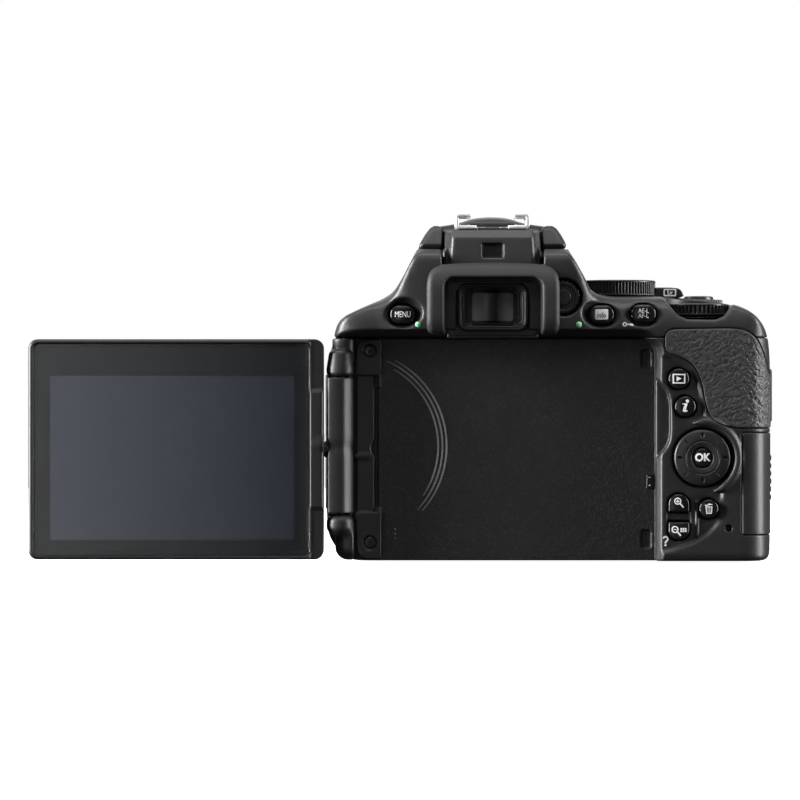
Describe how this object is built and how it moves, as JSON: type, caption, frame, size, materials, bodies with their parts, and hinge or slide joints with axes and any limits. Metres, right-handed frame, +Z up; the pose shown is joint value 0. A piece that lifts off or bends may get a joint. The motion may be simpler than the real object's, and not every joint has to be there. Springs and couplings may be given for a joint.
{
  "type": "digital camera body",
  "caption": "Digital single-lens reflex camera body with open lens mount, hand grip, accessory shoe, viewfinder, dials and a fully articulated screen swung out to its side.",
  "frame": {"origin": "on the base plane, under the lens axis and in the plane of the image sensor", "axes": "+Z up; the lens looks along -Y and the screen side faces +Y; the hand grip is at -X and the opened screen at +X"},
  "size_m": [0.2065, 0.07, 0.0966],
  "materials": {
    "casing": "finely textured charcoal moulded plastic",
    "dark_casing": "near-black speckled moulded plastic",
    "rubber": "black rubber with leather grain on the grips",
    "gloss_black": null,
    "chrome": "bright plated sheet",
    "steel": "satin machined steel",
    "clear": "coated clear panel",
    "mirror": "front-surface mirror",
    "electronics": "dark blue-grey display and sensor stack",
    "circuit_board": "green glass-fibre board",
    "contact_plate": "pale moulded contact plate",
    "card_plastic": "dark blue card plastic",
    "battery_case": "grey battery plastic"
  },
  "bodies": {
    "camera_body": {"front_cover": "casing", "mount_collar": "casing", "rear_cover": "dark_casing", "top_cover": "casing", "bottom_plate": "dark_casing", "grip_rubber": "rubber", "thumb_rest": "rubber", "hinge_base": "dark_casing", "swing_pin": "steel", "eyecup": "rubber", "eyepiece_frame": "dark_casing", "eyepiece_lens": "clear", "shoe_plate": "dark_casing", "shoe_rails": "chrome", "memory_card": "card_plastic", "battery": "battery_case", "tripod_socket": "steel", "lens_mount_ring": "steel", "mirror_box": "dark_casing", "shutter_unit": "dark_casing", "image_sensor": "electronics", "focusing_screen": "clear", "pentamirror": "mirror", "main_board": "circuit_board"},
    "screen_arm": {"screen_bracket": "casing", "tilt_shaft": "steel"},
    "screen": {"screen_shell": "casing", "screen_module": "electronics", "screen_mask": "gloss_black", "screen_glass": "clear"},
    "diopter": {"diopter_dial": "gloss_black"},
    "flash": {"flash_head": "casing", "flash_window": "clear"},
    "mirror": {"reflex_mirror": "mirror"},
    "selector_carrier": {"selector_carrier": "contact_plate"},
    "multi_selector": {"multi_selector": "gloss_black"},
    "card_door_leaf": {"card_door_leaf": "steel"},
    "mode_dial": {"mode_dial": "gloss_black"},
    "live_view_lever": {"live_view_lever": "gloss_black"},
    "command_dial": {"command_dial": "gloss_black"},
    "power_switch": {"power_switch": "gloss_black"},
    "shutter_button": {"shutter_button": "chrome"},
    "movie_button": {"movie_button": "gloss_black"},
    "exposure_button": {"exposure_button": "gloss_black"},
    "menu_button": {"menu_button": "gloss_black"},
    "info_button": {"info_button": "gloss_black"},
    "ae_lock_button": {"ae_lock_button": "gloss_black"},
    "playback_button": {"playback_button": "gloss_black"},
    "quick_menu_button": {"quick_menu_button": "gloss_black"},
    "zoom_in_button": {"zoom_in_button": "gloss_black"},
    "zoom_out_button": {"zoom_out_button": "gloss_black"},
    "delete_button": {"delete_button": "gloss_black"},
    "ok_button": {"ok_button": "gloss_black"},
    "lens_release_button": {"lens_release_button": "gloss_black"},
    "function_button": {"function_button": "gloss_black"},
    "flash_button": {"flash_button": "gloss_black"},
    "card_door": {"card_door": "casing"},
    "hdmi_cover": {"hdmi_cover": "rubber"},
    "connector_cover": {"connector_cover": "rubber"},
    "battery_door": {"battery_door": "dark_casing"}
  },
  "joints": [
    {"name": "screen_swing", "type": "hinge", "parent": "camera_body", "child": "screen_arm", "pos_m": [0.0424, 0.0124, 0.031], "axis": [0, 0, 1], "range_deg": [0, 180]},
    {"name": "screen_tilt", "type": "hinge", "parent": "screen_arm", "child": "screen", "pos_m": [0.0469, 0.0124, 0.031], "axis": [1, 0, 0], "range_deg": [-90, 180]},
    {"name": "flash_pop_up", "type": "hinge", "parent": "camera_body", "child": "flash", "pos_m": [0, 0.005, 0.09], "axis": [-1, 0, 0], "range_deg": [0, 65]},
    {"name": "mirror_flip", "type": "hinge", "parent": "camera_body", "child": "mirror", "pos_m": [0, -0.0105, 0.0495], "axis": [-1, 0, 0], "range_deg": [0, 45], "stiffness_Nm_per_rad": 0.01},
    {"name": "mode_dial_turn", "type": "hinge", "parent": "camera_body", "child": "mode_dial", "pos_m": [-0.0358, -0.008, 0.076], "axis": [0, 0, 1], "continuous": true},
    {"name": "command_dial_turn", "type": "hinge", "parent": "camera_body", "child": "command_dial", "pos_m": [-0.0577, 0.0025, 0.07], "axis": [0, 0, 1], "continuous": true},
    {"name": "diopter_turn", "type": "hinge", "parent": "camera_body", "child": "diopter", "pos_m": [-0.0195, 0.014, 0.0732], "axis": [0, 1, 0], "range_deg": [-120, 120]},
    {"name": "live_view_switch", "type": "hinge", "parent": "camera_body", "child": "live_view_lever", "pos_m": [-0.0358, -0.008, 0.074], "axis": [0, 0, -1], "range_deg": [0, 15], "stiffness_Nm_per_rad": 0.02},
    {"name": "power_switch_turn", "type": "hinge", "parent": "camera_body", "child": "power_switch", "pos_m": [-0.0598, -0.031, 0.072], "axis": [0, 0, 1], "range_deg": [0, 30]},
    {"name": "menu_button_press", "type": "slide", "parent": "camera_body", "child": "menu_button", "axis": [0, -1, 0], "range_m": [0, 0.0006], "stiffness_N_per_m": 180},
    {"name": "info_button_press", "type": "slide", "parent": "camera_body", "child": "info_button", "axis": [0, -1, 0], "range_m": [0, 0.0006], "stiffness_N_per_m": 180},
    {"name": "ae_lock_button_press", "type": "slide", "parent": "camera_body", "child": "ae_lock_button", "axis": [0, -1, 0], "range_m": [0, 0.0006], "stiffness_N_per_m": 180},
    {"name": "playback_button_press", "type": "slide", "parent": "camera_body", "child": "playback_button", "axis": [0, -1, 0], "range_m": [0, 0.0006], "stiffness_N_per_m": 180},
    {"name": "quick_menu_button_press", "type": "slide", "parent": "camera_body", "child": "quick_menu_button", "axis": [0, -1, 0], "range_m": [0, 0.0006], "stiffness_N_per_m": 180},
    {"name": "zoom_in_button_press", "type": "slide", "parent": "camera_body", "child": "zoom_in_button", "axis": [0, -1, 0], "range_m": [0, 0.0006], "stiffness_N_per_m": 180},
    {"name": "zoom_out_button_press", "type": "slide", "parent": "camera_body", "child": "zoom_out_button", "axis": [0, -1, 0], "range_m": [0, 0.0006], "stiffness_N_per_m": 180},
    {"name": "delete_button_press", "type": "slide", "parent": "camera_body", "child": "delete_button", "axis": [0, -1, 0], "range_m": [0, 0.0006], "stiffness_N_per_m": 180},
    {"name": "ok_button_press", "type": "slide", "parent": "camera_body", "child": "ok_button", "axis": [0, -1, 0], "range_m": [0, 0.0006], "stiffness_N_per_m": 180},
    {"name": "shutter_button_press", "type": "slide", "parent": "camera_body", "child": "shutter_button", "axis": [0, 0, -1], "range_m": [0, 0.0012], "stiffness_N_per_m": 180},
    {"name": "movie_button_press", "type": "slide", "parent": "camera_body", "child": "movie_button", "axis": [0, 0, -1], "range_m": [0, 0.0008], "stiffness_N_per_m": 180},
    {"name": "exposure_button_press", "type": "slide", "parent": "camera_body", "child": "exposure_button", "axis": [0, 0, -1], "range_m": [0, 0.0008], "stiffness_N_per_m": 180},
    {"name": "lens_release_button_press", "type": "slide", "parent": "camera_body", "child": "lens_release_button", "axis": [0, 1, 0], "range_m": [0, 0.0015], "stiffness_N_per_m": 180},
    {"name": "function_button_press", "type": "slide", "parent": "camera_body", "child": "function_button", "axis": [0, 1, 0], "range_m": [0, 0.0006], "stiffness_N_per_m": 180},
    {"name": "flash_button_press", "type": "slide", "parent": "camera_body", "child": "flash_button", "axis": [0, 1, 0], "range_m": [0, 0.0006], "stiffness_N_per_m": 180},
    {"name": "selector_up_down", "type": "hinge", "parent": "camera_body", "child": "selector_carrier", "pos_m": [-0.0581, 0.013, 0.0287], "axis": [1, 0, 0], "range_deg": [-3, 3], "stiffness_Nm_per_rad": 0.1},
    {"name": "selector_left_right", "type": "hinge", "parent": "selector_carrier", "child": "multi_selector", "pos_m": [-0.0581, 0.0134, 0.0287], "axis": [0, 0, 1], "range_deg": [-3, 3], "stiffness_Nm_per_rad": 0.1},
    {"name": "card_door_slide", "type": "slide", "parent": "camera_body", "child": "card_door_leaf", "axis": [0, 1, 0], "range_m": [0, 0.0015]},
    {"name": "card_door_open", "type": "hinge", "parent": "card_door_leaf", "child": "card_door", "pos_m": [-0.0756, 0.0005, 0.0215], "axis": [0, 0, 1], "range_deg": [0, 80]},
    {"name": "hdmi_cover_open", "type": "hinge", "parent": "camera_body", "child": "hdmi_cover", "pos_m": [-0.0774, -0.0139, 0.046], "axis": [0, 0, 1], "range_deg": [0, 100]},
    {"name": "connector_cover_open", "type": "hinge", "parent": "camera_body", "child": "connector_cover", "pos_m": [0.0463, -0.0208, 0.033], "axis": [0, 0, -1], "range_deg": [0, 100]},
    {"name": "battery_door_open", "type": "hinge", "parent": "camera_body", "child": "battery_door", "pos_m": [-0.0516, -0.017, 0.0002], "axis": [0, -1, 0], "range_deg": [0, 100]}
  ]
}
